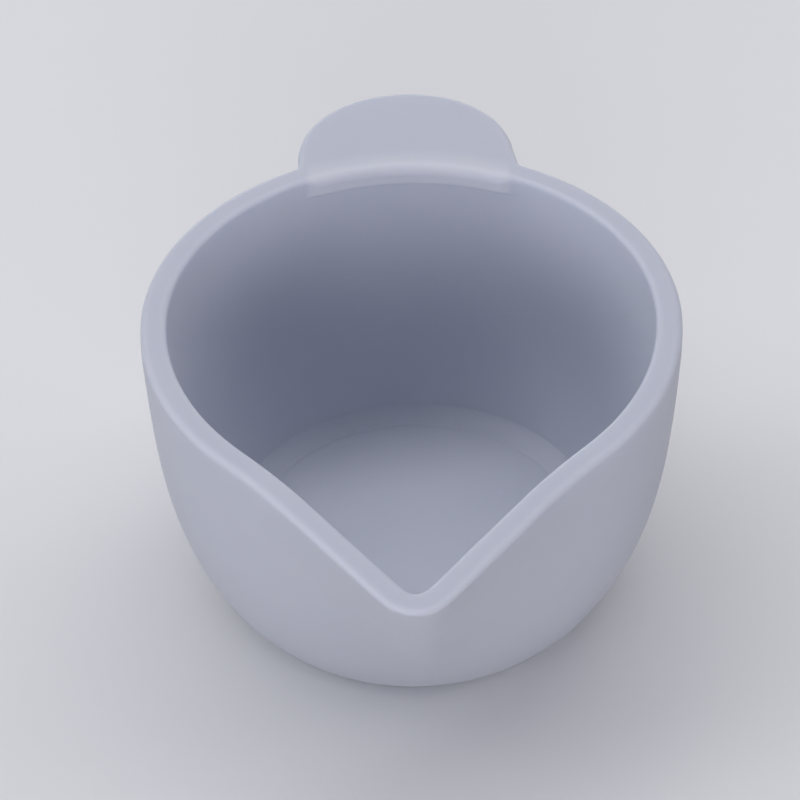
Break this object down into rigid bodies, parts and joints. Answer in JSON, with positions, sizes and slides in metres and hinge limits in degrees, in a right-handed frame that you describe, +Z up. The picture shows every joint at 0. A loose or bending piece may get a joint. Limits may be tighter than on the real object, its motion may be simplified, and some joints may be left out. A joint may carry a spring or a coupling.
{
  "type": "resin mixing cup",
  "caption": "Small soft silicone pouring cup for mixing resin: round bowl on a flat foot, V-shaped pour spout at the front and a rounded thumb tab at the back of the rim.",
  "frame": {"origin": "centre of the round foot, on the surface that the cup stands on", "axes": "+Z up out of the cup's mouth, -Y towards the pour spout, +Y towards the thumb tab, +X to the right when seen from the spout's side"},
  "size_m": [0.05, 0.0734, 0.0302],
  "materials": {
    "silicone": "milky translucent silicone rubber, soft satin surface"
  },
  "bodies": {
    "root": {"foot": "silicone", "cup_floor": "silicone", "bowl_wall": "silicone", "pour_spout": "silicone", "rim_band": "silicone", "thumb_tab": "silicone"}
  },
  "joints": []
}
